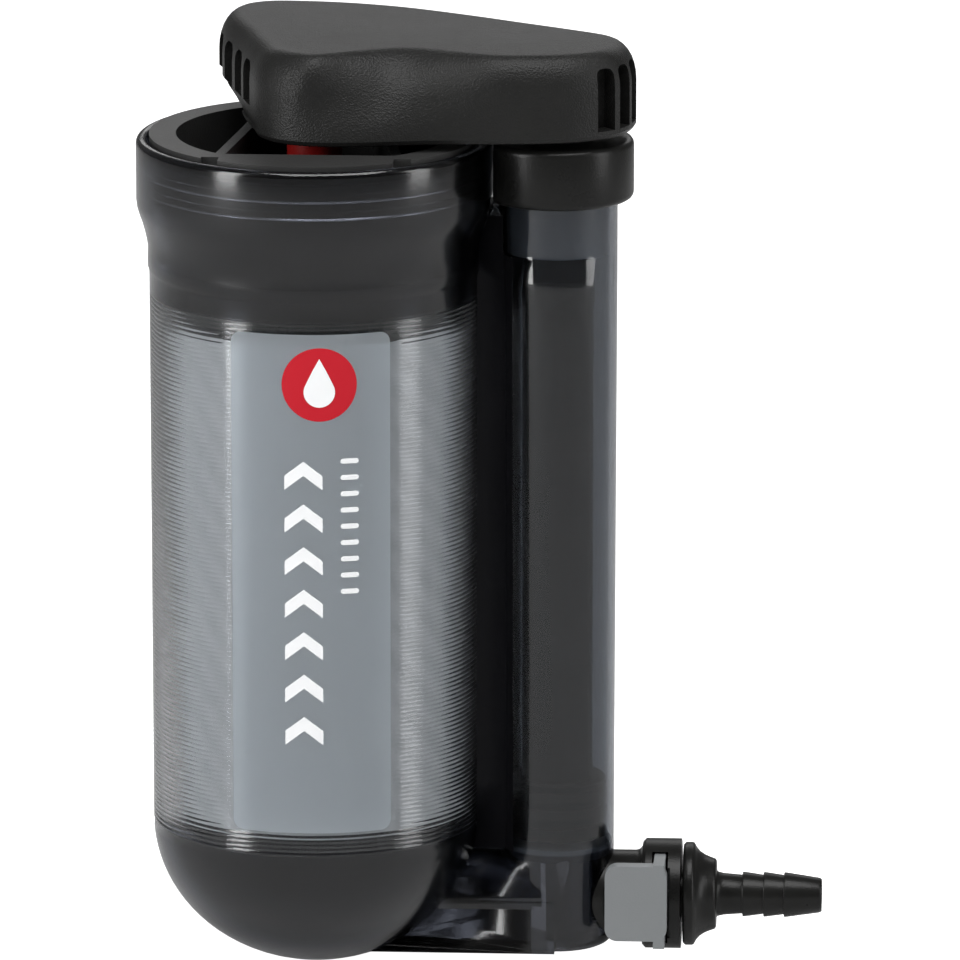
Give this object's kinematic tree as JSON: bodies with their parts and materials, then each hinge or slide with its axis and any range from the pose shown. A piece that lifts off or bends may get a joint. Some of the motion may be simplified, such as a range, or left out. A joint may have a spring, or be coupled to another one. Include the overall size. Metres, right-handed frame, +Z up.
{
  "type": "pump water filter",
  "caption": "Hand pump water filter: round-bottomed clear barrel with a screw-in cartridge, side pump tube with a swivelling handle, and a quick-release hose coupling.",
  "frame": {"origin": "on the barrel's axis at the lowest point of its dome", "axes": "+Z up along the barrel, +X towards the pump tube and the hose coupling, +Y away from the label"},
  "size_m": [0.1203, 0.0671, 0.165],
  "materials": {
    "smoky_clear": "glossy",
    "black_plastic": "fine grain",
    "gloss_black": "satin",
    "light_grey": "satin",
    "red_plastic": "satin",
    "label_film": "gloss",
    "seal_rubber": "matte",
    "sleeve_mesh": "woven",
    "pleated_media": "matte",
    "carbon": "granular",
    "spring_steel": "bright",
    "valve_rubber": "matte"
  },
  "bodies": {
    "housing": {"barrel": "smoky_clear", "pump_housing": "smoky_clear", "base_cover": "gloss_black", "pump_cap": "gloss_black", "rod_bush": "light_grey", "rod_seal": "seal_rubber", "valve_seat": "light_grey", "inlet_valve": "valve_rubber", "transfer_valve": "valve_rubber", "coupling_body": "gloss_black", "coupling_seal": "seal_rubber", "label": "label_film", "latch_spring": "spring_steel"},
    "cartridge": {"cartridge_lid": "gloss_black", "lid_seal": "seal_rubber", "outlet_port": "gloss_black", "outlet_dust_cap": "red_plastic", "cartridge_top_cap": "gloss_black", "prefilter_sleeve": "sleeve_mesh", "filter_media": "pleated_media", "carbon_core": "carbon", "core_tube": "light_grey", "cartridge_end_cap": "gloss_black"},
    "plunger": {"pump_rod": "gloss_black", "piston_head": "gloss_black", "piston_seals": "seal_rubber", "rod_clip": "spring_steel"},
    "handle": {"handle_shell": "black_plastic", "handle_base": "black_plastic"},
    "latch": {"latch_button": "light_grey"},
    "insert_seal": {"insert_o_ring": "seal_rubber"},
    "insert": {"hose_insert": "gloss_black"}
  },
  "joints": [
    {"name": "pump_stroke", "type": "slide", "parent": "housing", "child": "plunger", "axis": [0, 0, 1], "range_m": [0, 0.085]},
    {"name": "handle_swivel", "type": "hinge", "parent": "plunger", "child": "handle", "pos_m": [0.0424, 0, 0.155], "axis": [0, 0, 1], "continuous": true},
    {"name": "cartridge_turn", "type": "hinge", "parent": "housing", "child": "cartridge", "pos_m": [0, 0, 0.14], "axis": [0, 0, 1], "range_deg": [0, 540]},
    {"name": "latch_press", "type": "slide", "parent": "housing", "child": "latch", "axis": [0, 1, 0], "range_m": [0, 0.0015], "stiffness_N_per_m": 800, "springref_m": -0.0015, "deforming": ["latch_spring"]},
    {"name": "insert_pull", "type": "slide", "parent": "housing", "child": "insert_seal", "axis": [1, 0, 0], "range_m": [0, 0.016]},
    {"name": "insert_swivel", "type": "hinge", "parent": "insert_seal", "child": "insert", "pos_m": [0.0624, 0, 0.0119], "axis": [1, 0, 0], "continuous": true}
  ]
}
